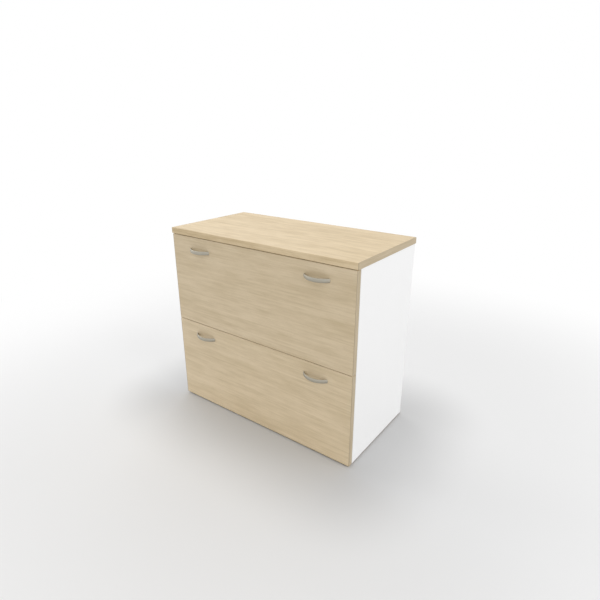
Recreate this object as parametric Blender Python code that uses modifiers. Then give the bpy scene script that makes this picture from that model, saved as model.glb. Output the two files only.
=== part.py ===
"""Two-drawer lateral filing cabinet, piece by piece.

A white melamine carcass carries a light oak top and two full-width oak drawer fronts, each with two
bow handles. Each drawer is a board box on a pair of full-extension ball runners, and holds two rows of
suspension files on three rails that run from front to back.

Metres, +Z up, drawers opening towards -Y. The origin is on the floor, under the centre of the box that
holds the whole cabinet, handles included.
"""

from math import asin, cos, pi, radians, sin

import bmesh
import bpy
from mathutils import Matrix, Vector

# Overall sizes
WIDTH = 0.800  # across the top
DEPTH = 0.392  # from the faces of the drawer fronts to the back
HEIGHT = 0.708  # from the floor to the top's upper face

# Clearances
SEAT_GAP = 0.0003  # between pieces that are fastened face to face
TOP_REVEAL = 0.002  # between the top and the upper drawer front
DRAWER_GAP = 0.002  # between the two drawer fronts
CLOSING_GAP = 0.0015  # between a closed drawer front and the carcass
BACK_ROOM = 0.0025  # behind the runners and the drawer boxes

# Carcass
TOP_THICKNESS = 0.022
TOP_SIDE_OVERHANG = 0.0035
TOP_FRONT_OVERHANG = 0.0018
TOP_EDGE_RADIUS = 0.0025
BOARD = 0.018
BOARD_EDGE = 0.0006  # eased edge of the white boards
BACK_THICKNESS = 0.008
BACK_INSET = 0.010  # from the back edges of the side panels
BACK_GROOVE = 0.006
RAIL_DEPTH = 0.080  # front to back, of each rail under the top

# Glides under the bottom panel
GLIDE_HEIGHT = 0.005
GLIDE_RADIUS = 0.011
GLIDE_EDGE = 0.0015
GLIDE_NAIL_RADIUS = 0.0015
GLIDE_NAIL_LENGTH = 0.012
GLIDE_INSET = 0.030

# Drawer fronts
FRONT_THICKNESS = 0.018
FRONT_EDGE_RADIUS = 0.001
BUMPER_RADIUS = 0.004
BUMPER_DROP = 0.020  # below a drawer front's top edge

# Drawer boxes
BOX_RISE = 0.030  # from a front's bottom edge up to its box
BOX_DROP = 0.038  # from a front's top edge down to its box
BOX_BOARD = 0.012
BOX_BOTTOM = 0.008
BOX_BOTTOM_RISE = 0.010
BOX_GROOVE = 0.006

# Suspension file rails, 330 mm apart at this width
FILE_RAIL_THICKNESS = 0.003
FILE_RAIL_HEIGHT = 0.019
FILE_RAIL_END_ROOM = 0.002
HANGER_ROOM = 0.0232  # between an outer file rail's centre and the box side

# Bow handles, two on each front
HANDLE_SPAN = 0.092  # along the front, between the centres of the bow's ends
HANDLE_RISE = 0.021  # of the bow's centre line at its middle
HANDLE_THICKNESS = 0.006
HANDLE_HEIGHT = 0.014
HANDLE_INSET = 0.140  # from a front's side edge to a handle's middle
HANDLE_DROP = 0.0475  # from a front's top edge to a handle's middle
HANDLE_STEPS = 18
HANDLE_ROUNDNESS = 3

# Ball runners: u runs from the cabinet's side towards the drawer, v is up from the runner's middle
RUNNER_THICKNESS = 0.0127
RUNNER_RISE = 0.110  # from a box's bottom edge to its runners' middle
RUNNER_SETBACK = 0.002
OUTER_STRIP = 0.0012
MIDDLE_STRIP = 0.0010
INNER_STRIP = 0.0012
CAGE_STRIP = 0.0005
BALL_RADIUS = 0.0024
BALL_PLAY = 0.00015
BALL_ROW_HEIGHT = 0.019  # of the outer ball rows, above and below the middle
RACE_TURN = radians(-40)  # direction from an outer ball row to its inner row
LIP_ANGLE = radians(20)  # where the middle member's lip ends, round its inner balls
INNER_LIP_ANGLE = radians(-160)
WEB_GAP = 0.0012  # between the webs of the outer and middle members
CAGE_PLAY = 0.010
CAGE_LIP = 0.0018  # from a ball row's centre to its cage's lip
CAGE_BEND = 0.0008  # across an outer cage's bent corner
INNER_CAGE_DROP = 0.00025  # from an inner ball row's centre to its cage's neck
INNER_CAGE_SHIFT = 0.0001  # off the middle of the inner cage's space, away from the middle member
BALLS_PER_ROW = 4
RACE_STEPS = 5
SCREW_HOLES = 3
SCREW_HOLE_RADIUS = 0.0022

# Facets
BALL_SEGMENTS = 8
BALL_RINGS = 5
HOLE_SIDES = 8
NAIL_HOLE_SIDES = 12
BUMPER_SIDES = 16
GLIDE_STEPS = 16
EDGE_ANGLE = radians(40)  # sharper edges than this are eased
SMOOTH_ANGLE = radians(35)  # gentler edges than this are shaded smooth

# Places that follow from the sizes
HANDLE_PROJECTION = HANDLE_RISE + HANDLE_THICKNESS / 2
FRONT_Y = (HANDLE_PROJECTION - DEPTH) / 2
BACK_Y = FRONT_Y + DEPTH
FRONT_BACK_Y = FRONT_Y + FRONT_THICKNESS
CARCASS_Y = FRONT_BACK_Y + CLOSING_GAP
BACK_PANEL_Y = BACK_Y - BACK_INSET - BACK_THICKNESS
CARCASS_HALF = WIDTH / 2 - TOP_SIDE_OVERHANG
INSIDE_HALF = CARCASS_HALF - BOARD
TOP_Z = HEIGHT - TOP_THICKNESS
CARCASS_Z = GLIDE_HEIGHT + SEAT_GAP
CARCASS_TOP_Z = TOP_Z - SEAT_GAP
FRONT_HEIGHT = (TOP_Z - TOP_REVEAL - CARCASS_Z - DRAWER_GAP) / 2
BOX_Y = FRONT_BACK_Y + SEAT_GAP
BOX_BACK_Y = BACK_PANEL_Y - BACK_ROOM
BOX_HALF = INSIDE_HALF - RUNNER_THICKNESS - 2 * SEAT_GAP
BOX_INSIDE_HALF = BOX_HALF - BOX_BOARD
RUNNER_Y = CARCASS_Y + RUNNER_SETBACK
RUNNER_LENGTH = BACK_PANEL_Y - BACK_ROOM - RUNNER_Y

SIDES = {"left": -1, "right": 1}


def clear_scene():
    for old in list(bpy.data.objects):
        bpy.data.objects.remove(old)


def new_collection(name):
    collection = bpy.data.collections.new(name)
    bpy.context.scene.collection.children.link(collection)
    return collection


def material(name, color, roughness, metallic=0.0):
    made = bpy.data.materials.new(name)
    made.use_nodes = True
    shader = made.node_tree.nodes["Principled BSDF"]
    shader.inputs["Base Color"].default_value = (*color, 1)
    shader.inputs["Roughness"].default_value = roughness
    shader.inputs["Metallic"].default_value = metallic
    return made


clear_scene()
CABINET = new_collection("filing_cabinet")
CUTTERS = new_collection("cutters")
OAK = material("light_oak", (0.62, 0.50, 0.34), 0.5)
WHITE = material("white_melamine", (0.86, 0.86, 0.86), 0.45)
SATIN_METAL = material("satin_nickel", (0.56, 0.55, 0.53), 0.35, 1.0)
ZINC = material("zinc_plated_steel", (0.60, 0.61, 0.62), 0.35, 1.0)
ALUMINIUM = material("mill_aluminium", (0.70, 0.71, 0.72), 0.4, 1.0)
CLEAR_PAD = material("clear_bumper", (0.80, 0.80, 0.78), 0.3)
GREY_PLASTIC = material("grey_plastic", (0.20, 0.20, 0.20), 0.5)


def add_object(name, mesh, finish, group=None, at=(0, 0, 0)):
    """A visible piece, at a place in the cabinet's frame, carried by its group's empty if it has one."""
    made = bpy.data.objects.new(name, mesh)
    made.location = Vector(at)
    if group:
        made.parent = group
        made.location -= group.location
    mesh.materials.append(finish)
    CABINET.objects.link(made)
    return made


def add_cutter(name, mesh):
    cutter = bpy.data.objects.new(name, mesh)
    cutter.hide_render = True
    cutter.display_type = "WIRE"
    CUTTERS.objects.link(cutter)
    return cutter


def add_slide(name, z):
    """The empty that carries a sliding body. Its origin is on the slide's line, at the drawer fronts."""
    empty = bpy.data.objects.new(name, None)
    empty.empty_display_size = 0.05
    empty.location = (0, FRONT_Y, z)
    CABINET.objects.link(empty)
    return empty


def box_mesh(name, low, high):
    """A box as a mesh round its own centre, and that centre."""
    low, high = Vector(low), Vector(high)
    bm = bmesh.new()
    bmesh.ops.create_cube(bm, size=1)
    bmesh.ops.scale(bm, vec=high - low, verts=bm.verts)
    mesh = bpy.data.meshes.new(name)
    bm.to_mesh(mesh)
    bm.free()
    return mesh, (low + high) / 2


def box_cutter(name, low, high):
    mesh, centre = box_mesh(name, low, high)
    cutter = add_cutter(name, mesh)
    cutter.location = centre
    return cutter


def cut(piece, cutter, operation="DIFFERENCE"):
    modifier = piece.modifiers.new(cutter.name, "BOOLEAN")
    modifier.object = cutter
    modifier.operation = operation
    modifier.solver = "EXACT"


def ease(piece, radius, segments=1):
    modifier = piece.modifiers.new("eased_edges", "BEVEL")
    modifier.width = radius
    modifier.segments = segments
    modifier.limit_method = "ANGLE"
    modifier.angle_limit = EDGE_ANGLE


def board(name, low, high, finish, group=None, radius=BOARD_EDGE, segments=1):
    mesh, centre = box_mesh(name, low, high)
    made = add_object(name, mesh, finish, group, centre)
    ease(made, radius, segments)
    return made


def round_off(mesh):
    mesh.shade_smooth()
    mesh.set_sharp_from_angle(angle=SMOOTH_ANGLE)


def arc(centre, radius, start, end, steps):
    """Points on an arc, first to last, as (u, v) pairs."""
    turns = [start + (end - start) * i / steps for i in range(steps + 1)]
    return [(centre[0] + radius * cos(a), centre[1] + radius * sin(a)) for a in turns]


def disc_cutter(name, centre, radius, axis, length, sides):
    """A round cutter, centred on a point and lying along X, Y or Z."""
    turn = {"X": Matrix.Rotation(pi / 2, 3, "Y"), "Y": Matrix.Rotation(pi / 2, 3, "X")}.get(axis)
    bm = bmesh.new()
    bmesh.ops.create_cone(bm, cap_ends=True, segments=sides, radius1=radius, radius2=radius, depth=length)
    if turn:
        bmesh.ops.rotate(bm, matrix=turn, verts=bm.verts)
    mesh = bpy.data.meshes.new(name)
    bm.to_mesh(mesh)
    bm.free()
    cutter = add_cutter(name, mesh)
    cutter.location = centre
    return cutter


def turned(name, profile, finish, at, steps, group=None):
    """A turned piece from its profile's (radius, height) points, down the outer side."""
    mesh = bpy.data.meshes.new(name)
    points = [(r, 0, z) for r, z in profile]
    mesh.from_pydata(points, [(i, i + 1) for i in range(len(points) - 1)], [])
    made = add_object(name, mesh, finish, group, at)
    screw = made.modifiers.new("turn", "SCREW")
    screw.steps = screw.render_steps = steps
    screw.use_merge_vertices = True
    screw.merge_threshold = 0.00005
    screw.use_smooth_shade = True
    return made


# Carcass


def glide_places():
    places = {}
    for side, sign in SIDES.items():
        x = sign * (INSIDE_HALF - GLIDE_INSET)
        places[f"front_{side}"] = (x, CARCASS_Y + GLIDE_INSET)
        places[f"back_{side}"] = (x, BACK_PANEL_Y - GLIDE_INSET)
    return places


def build_top():
    low = (-WIDTH / 2, FRONT_Y - TOP_FRONT_OVERHANG, TOP_Z)
    board("top_panel", low, (WIDTH / 2, BACK_Y, HEIGHT), OAK, radius=TOP_EDGE_RADIUS, segments=3)


def build_side_panels():
    groove_half = BACK_THICKNESS / 2 + SEAT_GAP
    groove_y = BACK_PANEL_Y + BACK_THICKNESS / 2
    for side, sign in SIDES.items():
        xs = sorted((sign * INSIDE_HALF, sign * CARCASS_HALF))
        low = (xs[0], CARCASS_Y, CARCASS_Z)
        panel = board(f"side_panel_{side}", low, (xs[1], BACK_Y, CARCASS_TOP_Z), WHITE)
        xs = sorted((sign * (INSIDE_HALF - BOARD), sign * (INSIDE_HALF + BACK_GROOVE)))
        low = (xs[0], groove_y - groove_half, CARCASS_Z - BOARD)
        high = (xs[1], groove_y + groove_half, CARCASS_TOP_Z + BOARD)
        cut(panel, box_cutter(f"back_groove_{side}", low, high))


def build_bottom_panel():
    half = INSIDE_HALF - SEAT_GAP
    low = (-half, CARCASS_Y, CARCASS_Z)
    high = (half, BACK_PANEL_Y - SEAT_GAP, CARCASS_Z + BOARD)
    panel = board("bottom_panel", low, high, WHITE)
    for place, (x, y) in glide_places().items():
        length = 2 * (GLIDE_NAIL_LENGTH + SEAT_GAP)
        radius = GLIDE_NAIL_RADIUS + SEAT_GAP
        cutter = disc_cutter(f"nail_hole_{place}", (x, y, CARCASS_Z), radius, "Z", length, NAIL_HOLE_SIDES)
        cut(panel, cutter)


def build_back_panel():
    half = INSIDE_HALF + BACK_GROOVE - SEAT_GAP
    low = (-half, BACK_PANEL_Y, CARCASS_Z)
    board("back_panel", low, (half, BACK_PANEL_Y + BACK_THICKNESS, CARCASS_TOP_Z), WHITE)


def build_top_rails():
    half = INSIDE_HALF - SEAT_GAP
    back = BACK_PANEL_Y - SEAT_GAP
    for place, y in {"front": CARCASS_Y, "back": back - RAIL_DEPTH}.items():
        low = (-half, y, CARCASS_TOP_Z - BOARD)
        board(f"top_rail_{place}", low, (half, y + RAIL_DEPTH, CARCASS_TOP_Z), WHITE)


def build_glides():
    edge = arc((GLIDE_RADIUS - GLIDE_EDGE, GLIDE_EDGE), GLIDE_EDGE, 0, -pi / 2, 3)
    nail_top = GLIDE_HEIGHT + GLIDE_NAIL_LENGTH
    profile = [(0, nail_top), (GLIDE_NAIL_RADIUS, nail_top - GLIDE_NAIL_RADIUS)]
    profile += [(GLIDE_NAIL_RADIUS, GLIDE_HEIGHT), (GLIDE_RADIUS, GLIDE_HEIGHT)]
    profile += [*edge, (0, 0)]
    for place, (x, y) in glide_places().items():
        turned(f"glide_{place}", profile, GREY_PLASTIC, (x, y, 0), GLIDE_STEPS)


# Ball runners


def race_centres():
    """Where the balls run, as (u, v): the outer row's centre, and the inner row's."""
    outer = (OUTER_STRIP + BALL_RADIUS + BALL_PLAY, BALL_ROW_HEIGHT)
    reach = 2 * BALL_RADIUS + 2 * BALL_PLAY + MIDDLE_STRIP
    inner = (outer[0] + reach * cos(RACE_TURN), outer[1] + reach * sin(RACE_TURN))
    return outer, inner


def race_radius(strip):
    """Radius of a strip's middle line where it wraps a row of balls."""
    return BALL_RADIUS + BALL_PLAY + strip / 2


def both_halves(upper):
    """A member's whole profile, from the points of its upper half, lip to web."""
    return upper + [(u, -v) for u, v in reversed(upper)]


def outer_profile():
    outer, _ = race_centres()
    return both_halves(arc(outer, race_radius(OUTER_STRIP), 0, pi, 2 * RACE_STEPS))


def middle_web():
    return OUTER_STRIP + WEB_GAP + MIDDLE_STRIP / 2


def middle_profile():
    """Each flange is an S: over the inner balls, then under the outer ones."""
    outer, inner = race_centres()
    radius = race_radius(MIDDLE_STRIP)
    web_angle = -pi / 2 - (outer[0] - middle_web()) / radius
    upper = arc(inner, radius, LIP_ANGLE, RACE_TURN + pi, RACE_STEPS)
    upper += arc(outer, radius, RACE_TURN, web_angle, RACE_STEPS)[1:]
    web = (middle_web(), upper[-1][1])
    return both_halves(upper[:-1] + [web])


def inner_profile():
    _, inner = race_centres()
    web = RUNNER_THICKNESS - INNER_STRIP / 2
    upper = arc(inner, race_radius(INNER_STRIP), INNER_LIP_ANGLE, -pi / 2, RACE_STEPS)
    return both_halves(upper + [(web, upper[-1][1])])


def outer_cage_profile():
    outer, _ = race_centres()
    web = OUTER_STRIP + WEB_GAP / 2
    lip = (outer[0] + CAGE_LIP, outer[1])
    return both_halves([lip, (web + CAGE_BEND, outer[1]), (web, outer[1] - CAGE_BEND)])


def inner_cage_profile():
    _, inner = race_centres()
    web = middle_web() + (MIDDLE_STRIP + WEB_GAP) / 2 + INNER_CAGE_SHIFT
    drop = inner[1] - INNER_CAGE_DROP
    lip = (inner[0] + CAGE_LIP, inner[1])
    return both_halves([lip, (web + CAGE_STRIP, drop), (web, drop - 2 * CAGE_STRIP)])


def runner_point(u, v, sign, z):
    return (sign * (INSIDE_HALF - SEAT_GAP - u), z + v)


def rolled_strip(name, profile, strip, sign, z, start, length, finish, group):
    """A length of roll-formed strip: its profile's middle line, run along Y and given its thickness."""
    bm = bmesh.new()
    corners = [runner_point(u, v, sign, z) for u, v in profile]
    verts = [bm.verts.new((x, start, height)) for x, height in corners]
    edges = [bm.edges.new(pair) for pair in zip(verts, verts[1:])]
    made = bmesh.ops.extrude_edge_only(bm, edges=edges)["geom"]
    moved = [v for v in made if isinstance(v, bmesh.types.BMVert)]
    bmesh.ops.translate(bm, vec=(0, length, 0), verts=moved)
    origin = group.location if group else Vector((0, start, z))
    bmesh.ops.translate(bm, vec=-origin, verts=bm.verts)
    mesh = bpy.data.meshes.new(name)
    bm.to_mesh(mesh)
    bm.free()
    piece = add_object(name, mesh, finish, group, origin)
    solid = piece.modifiers.new("strip", "SOLIDIFY")
    solid.thickness = strip
    solid.offset = 0
    solid.use_even_offset = True
    return piece


def screw_holes(piece, sign, z, u):
    """Fixing holes along a member's web."""
    pitch = RUNNER_LENGTH / SCREW_HOLES
    for i in range(SCREW_HOLES):
        x, height = runner_point(u, 0, sign, z)
        centre = (x, RUNNER_Y + pitch * (i + 0.5), height)
        name = f"{piece.name}_hole_{i + 1}"
        cutter = disc_cutter(name, centre, SCREW_HOLE_RADIUS, "X", 4 * OUTER_STRIP, HOLE_SIDES)
        cut(piece, cutter)


def balls(name, row, sign, z, start, length):
    """One cage's balls, in its upper and lower rows."""
    bm = bmesh.new()
    pitch = length / BALLS_PER_ROW
    for v in (row[1], -row[1]):
        x, height = runner_point(row[0], v, sign, z)
        for i in range(BALLS_PER_ROW):
            place = Matrix.Translation((x, start + pitch * (i + 0.5), height))
            bmesh.ops.create_uvsphere(
                bm, u_segments=BALL_SEGMENTS, v_segments=BALL_RINGS, radius=BALL_RADIUS, matrix=place
            )
    mesh = bpy.data.meshes.new(name)
    bm.to_mesh(mesh)
    bm.free()
    return add_cutter(name, mesh)


def build_runner(level, side, z, drawer):
    """One telescopic runner: cabinet member, middle member, drawer member and two ball cages."""
    sign = SIDES[side]
    whole = (sign, z, RUNNER_Y, RUNNER_LENGTH)
    outer = rolled_strip(f"{level}_runner_outer_{side}", outer_profile(), OUTER_STRIP, *whole, ZINC, None)
    screw_holes(outer, sign, z, OUTER_STRIP / 2)
    middle = add_slide(f"{level}_runner_middle_{side}_slide", z)
    rolled_strip(f"{level}_runner_middle_{side}", middle_profile(), MIDDLE_STRIP, *whole, ZINC, middle)
    inner = rolled_strip(f"{level}_runner_inner_{side}", inner_profile(), INNER_STRIP, *whole, ZINC, drawer)
    screw_holes(inner, sign, z, RUNNER_THICKNESS - INNER_STRIP / 2)
    cage_length = RUNNER_LENGTH / 2 - CAGE_PLAY
    cage_start = RUNNER_Y + (RUNNER_LENGTH - cage_length) / 2
    outer_row, inner_row = race_centres()
    for place, profile, row in (
        ("outer", outer_cage_profile(), outer_row),
        ("inner", inner_cage_profile(), inner_row),
    ):
        name = f"{level}_ball_cage_{place}_{side}"
        carrier = add_slide(f"{name}_slide", z)
        cage = rolled_strip(name, profile, CAGE_STRIP, sign, z, cage_start, cage_length, ZINC, carrier)
        cut(cage, balls(f"{name}_balls", row, sign, z, cage_start, cage_length), "UNION")


# Drawers


def bow_mesh(name):
    """A bow of oval section: an arc swept round, its ends cut flat where they meet the drawer front."""
    half = HANDLE_SPAN / 2
    radius = (half**2 + HANDLE_RISE**2) / (2 * HANDLE_RISE)
    reach = asin(half / radius) + HANDLE_THICKNESS / radius
    curve = bpy.data.curves.new(name, "CURVE")
    curve.dimensions = "3D"
    curve.bevel_depth = HANDLE_THICKNESS / 2
    curve.bevel_resolution = HANDLE_ROUNDNESS
    curve.use_fill_caps = True
    centre = (0, HANDLE_RISE - radius)
    points = arc(centre, radius, pi / 2 + reach, pi / 2 - reach, HANDLE_STEPS)
    spline = curve.splines.new("POLY")
    spline.points.add(len(points) - 1)
    for point, (x, rise) in zip(spline.points, points):
        point.co = (x, -rise, 0, 1)
    sweep = bpy.data.objects.new(name, curve)
    CUTTERS.objects.link(sweep)
    mesh = bpy.data.meshes.new_from_object(sweep.evaluated_get(bpy.context.evaluated_depsgraph_get()))
    bpy.data.objects.remove(sweep)
    bm = bmesh.new()
    bm.from_mesh(mesh)
    bmesh.ops.remove_doubles(bm, verts=bm.verts, dist=0.00001)
    bmesh.ops.scale(bm, vec=(1, 1, HANDLE_HEIGHT / HANDLE_THICKNESS), verts=bm.verts)
    everything = bm.verts[:] + bm.edges[:] + bm.faces[:]
    face = (0, -SEAT_GAP, 0)
    bmesh.ops.bisect_plane(bm, geom=everything, plane_co=face, plane_no=(0, 1, 0), clear_outer=True)
    bmesh.ops.holes_fill(bm, edges=[e for e in bm.edges if e.is_boundary])
    bmesh.ops.recalc_face_normals(bm, faces=bm.faces)
    bm.to_mesh(mesh)
    bm.free()
    round_off(mesh)
    return mesh


def build_handles(level, top_z, group):
    for side, sign in SIDES.items():
        name = f"{level}_handle_{side}"
        place = (sign * (CARCASS_HALF - HANDLE_INSET), FRONT_Y, top_z - HANDLE_DROP)
        add_object(name, bow_mesh(name), SATIN_METAL, group, place)


def build_bumpers(level, top_z, group):
    """Pads at the top corners of a front's back, which meet the side panels' edges."""
    thickness = CLOSING_GAP - 2 * SEAT_GAP
    for side, sign in SIDES.items():
        name = f"{level}_bumper_{side}"
        bm = bmesh.new()
        sizes = {"radius1": BUMPER_RADIUS, "radius2": BUMPER_RADIUS - thickness, "depth": thickness}
        turn = Matrix.Rotation(-pi / 2, 3, "X").to_4x4()
        bmesh.ops.create_cone(bm, cap_ends=True, segments=BUMPER_SIDES, matrix=turn, **sizes)
        mesh = bpy.data.meshes.new(name)
        bm.to_mesh(mesh)
        bm.free()
        x = sign * (CARCASS_HALF - BOARD / 2)
        place = (x, FRONT_BACK_Y + SEAT_GAP + thickness / 2, top_z - BUMPER_DROP)
        add_object(name, mesh, CLEAR_PAD, group, place)


def build_box(level, low_z, high_z, group):
    """The board box: two sides, a front and a back between them, and a bottom in their grooves."""
    boards = {}
    for side, sign in SIDES.items():
        xs = sorted((sign * BOX_INSIDE_HALF, sign * BOX_HALF))
        low = (xs[0], BOX_Y, low_z)
        boards[side] = board(f"{level}_box_{side}", low, (xs[1], BOX_BACK_Y, high_z), WHITE, group)
    half = BOX_INSIDE_HALF - SEAT_GAP
    for place, y in {"front": BOX_Y, "back": BOX_BACK_Y - BOX_BOARD}.items():
        high = (half, y + BOX_BOARD, high_z)
        boards[place] = board(f"{level}_box_{place}", (-half, y, low_z), high, WHITE, group)
    bottom_z = low_z + BOX_BOTTOM_RISE
    reach = BOX_GROOVE - SEAT_GAP
    low = (-BOX_INSIDE_HALF - reach, BOX_Y + BOX_BOARD - reach, bottom_z)
    high = (BOX_INSIDE_HALF + reach, BOX_BACK_Y - BOX_BOARD + reach, bottom_z + BOX_BOTTOM)
    board(f"{level}_box_bottom", low, high, WHITE, group)
    groove_low = (-BOX_INSIDE_HALF - BOX_GROOVE, BOX_Y + BOX_BOARD - BOX_GROOVE, bottom_z - SEAT_GAP)
    groove_high = (
        BOX_INSIDE_HALF + BOX_GROOVE,
        BOX_BACK_Y - BOX_BOARD + BOX_GROOVE,
        bottom_z + BOX_BOTTOM + SEAT_GAP,
    )
    groove = box_cutter(f"{level}_bottom_groove", groove_low, groove_high)
    for piece in boards.values():
        cut(piece, groove)
    return boards


def build_file_rails(level, high_z, boards, group):
    """Three flat bars on edge, dropped into slots in the box's front and back."""
    rail_x = BOX_INSIDE_HALF - HANGER_ROOM
    start = BOX_Y + FILE_RAIL_END_ROOM
    end = BOX_BACK_Y - FILE_RAIL_END_ROOM
    for place, x in {"left": -rail_x, "centre": 0, "right": rail_x}.items():
        half = FILE_RAIL_THICKNESS / 2
        low = (x - half, start, high_z - FILE_RAIL_HEIGHT)
        high = (x + half, end, high_z)
        board(f"{level}_file_rail_{place}", low, high, ALUMINIUM, group, FILE_RAIL_THICKNESS / 6)
        slot_low = (x - half - SEAT_GAP, BOX_Y - BOX_BOARD, high_z - FILE_RAIL_HEIGHT - SEAT_GAP)
        slot_high = (x + half + SEAT_GAP, BOX_BACK_Y + BOX_BOARD, high_z + FILE_RAIL_HEIGHT)
        slot = box_cutter(f"{level}_rail_slot_{place}", slot_low, slot_high)
        cut(boards["front"], slot)
        cut(boards["back"], slot)


def build_drawer(level, front_z):
    """One drawer, its two runners and what moves with them, from its front's bottom edge."""
    front_top = front_z + FRONT_HEIGHT
    box_z, box_top = front_z + BOX_RISE, front_top - BOX_DROP
    runner_z = box_z + RUNNER_RISE
    drawer = add_slide(f"{level}_drawer_slide", runner_z)
    low = (-CARCASS_HALF, FRONT_Y, front_z)
    high = (CARCASS_HALF, FRONT_BACK_Y, front_top)
    board(f"{level}_drawer_front", low, high, OAK, drawer, FRONT_EDGE_RADIUS, 2)
    build_handles(level, front_top, drawer)
    build_bumpers(level, front_top, drawer)
    boards = build_box(level, box_z, box_top, drawer)
    build_file_rails(level, box_top, boards, drawer)
    for side in SIDES:
        build_runner(level, side, runner_z, drawer)


build_top()
build_side_panels()
build_bottom_panel()
build_back_panel()
build_top_rails()
build_glides()
build_drawer("lower", CARCASS_Z)
build_drawer("upper", CARCASS_Z + FRONT_HEIGHT + DRAWER_GAP)
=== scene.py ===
"""Looks of a two-drawer lateral filing cabinet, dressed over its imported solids.

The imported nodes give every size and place. The oak boards are rebuilt with their edge bands, the handles
with a fine surface, turned and rolled pieces are smoothed copies of their nodes, and the small fasteners
that hold the cabinet together are added. Every other node keeps its shape and gets its finish here.
Metres, +Z up, drawers opening towards -Y.
"""

from __future__ import annotations

import logging
import math
from collections.abc import Callable, Iterator, Sequence
from contextlib import contextmanager
from dataclasses import dataclass, field
from enum import Enum

import bmesh
import bpy
from mathutils import Matrix, Vector

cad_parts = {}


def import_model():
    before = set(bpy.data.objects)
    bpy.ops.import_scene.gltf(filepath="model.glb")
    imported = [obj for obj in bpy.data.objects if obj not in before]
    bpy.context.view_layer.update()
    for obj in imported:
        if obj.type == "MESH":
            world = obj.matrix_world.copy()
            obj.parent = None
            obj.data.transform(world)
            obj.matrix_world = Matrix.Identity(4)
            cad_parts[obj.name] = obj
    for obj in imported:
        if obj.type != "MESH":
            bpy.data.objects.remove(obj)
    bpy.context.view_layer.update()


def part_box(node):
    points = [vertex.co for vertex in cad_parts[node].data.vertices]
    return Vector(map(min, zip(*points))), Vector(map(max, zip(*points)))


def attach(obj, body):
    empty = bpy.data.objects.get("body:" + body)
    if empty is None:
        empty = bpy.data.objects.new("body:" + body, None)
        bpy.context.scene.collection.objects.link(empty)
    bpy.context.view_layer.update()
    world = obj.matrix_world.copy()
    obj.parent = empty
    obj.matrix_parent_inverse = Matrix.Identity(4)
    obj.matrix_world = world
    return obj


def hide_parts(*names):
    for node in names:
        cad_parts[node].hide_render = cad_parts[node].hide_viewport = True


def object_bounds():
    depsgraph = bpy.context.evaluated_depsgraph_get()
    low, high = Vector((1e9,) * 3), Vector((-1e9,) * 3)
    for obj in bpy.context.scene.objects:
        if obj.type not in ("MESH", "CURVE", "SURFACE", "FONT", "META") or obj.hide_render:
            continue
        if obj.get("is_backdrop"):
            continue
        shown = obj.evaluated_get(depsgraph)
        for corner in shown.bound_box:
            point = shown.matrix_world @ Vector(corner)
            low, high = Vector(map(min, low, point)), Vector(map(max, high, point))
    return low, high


log = logging.getLogger("filing_cabinet")

WHITE_LIGHT = (1.0, 1.0, 1.0, 1.0)
CLOSE = 0.000001
WELD = 0.000002
SQUARE_ON = 0.9

Material = bpy.types.Material
Pair = tuple[float, float]
Triple = tuple[float, float, float]
Test = Callable[[bmesh.types.BMEdge], bool] | Callable[[bmesh.types.BMFace], bool]


class Axis(Enum):
    """An axis of the cabinet's frame, by its place in a vector."""

    X = 0
    Y = 1
    Z = 2

    def drawn_out(self, along: float, across: float) -> Triple:
        """One size along this axis and another across it, as a size along each axis."""
        return tuple(along if axis is self else across for axis in Axis)


class Facing(Enum):
    """The way a face or a fastener's head looks."""

    LEFT = (-1.0, 0.0, 0.0)
    RIGHT = (1.0, 0.0, 0.0)
    BACK = (0.0, 1.0, 0.0)
    DOWN = (0.0, 0.0, -1.0)
    UP = (0.0, 0.0, 1.0)

    @property
    def vector(self) -> Vector:
        """The direction as a unit vector."""
        return Vector(self.value)

    @property
    def turn(self) -> Matrix:
        """The rotation that takes +Z to this direction."""
        return Facing.UP.vector.rotation_difference(self.vector).to_matrix().to_4x4()


class Side(Enum):
    """Left or right of the cabinet, by its sign on X."""

    LEFT = -1
    RIGHT = 1

    @property
    def word(self) -> str:
        """The side's word in node names."""
        return self.name.lower()

    @property
    def inward(self) -> Facing:
        """The way from this side of the cabinet to its middle."""
        return Facing.RIGHT if self is Side.LEFT else Facing.LEFT

    @property
    def outward(self) -> Facing:
        """The way from the middle of the cabinet to this side."""
        return Facing.LEFT if self is Side.LEFT else Facing.RIGHT


class Level(Enum):
    """A drawer's level, by its word in node names."""

    LOWER = "lower"
    UPPER = "upper"


class Pick(Enum):
    """What edit mode selects."""

    EDGE = "EDGE"
    FACE = "FACE"


# Shader maths


class Signal:
    """An output socket of a shader tree, for use in Python expressions."""

    def __init__(self, graph: Graph, socket: bpy.types.NodeSocket) -> None:
        """Wraps one output socket of a graph."""
        self.graph = graph
        self.socket = socket

    def __add__(self, other: Signal | float) -> Signal:
        """This plus the other."""
        return self.graph.math("ADD", self, other)

    __radd__ = __add__

    def __sub__(self, other: Signal | float) -> Signal:
        """This less the other."""
        return self.graph.math("SUBTRACT", self, other)

    def __rsub__(self, other: float) -> Signal:
        """The other less this."""
        return self.graph.math("SUBTRACT", other, self)

    def __mul__(self, other: Signal | float) -> Signal:
        """This times the other."""
        return self.graph.math("MULTIPLY", self, other)

    __rmul__ = __mul__

    def __gt__(self, other: Signal | float) -> Signal:
        """1 where this is over the other, and 0 elsewhere."""
        return self.graph.math("GREATER_THAN", self, other)

    def over(self, low: float, high: float) -> Signal:
        """A soft step: 0 under low, 1 over high, and a smooth rise between."""
        sockets = {"Value": self, "From Min": low, "From Max": high}
        return self.graph.signal("ShaderNodeMapRange", sockets, interpolation_type="SMOOTHSTEP")


Input = Signal | float | Sequence[float]


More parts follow.
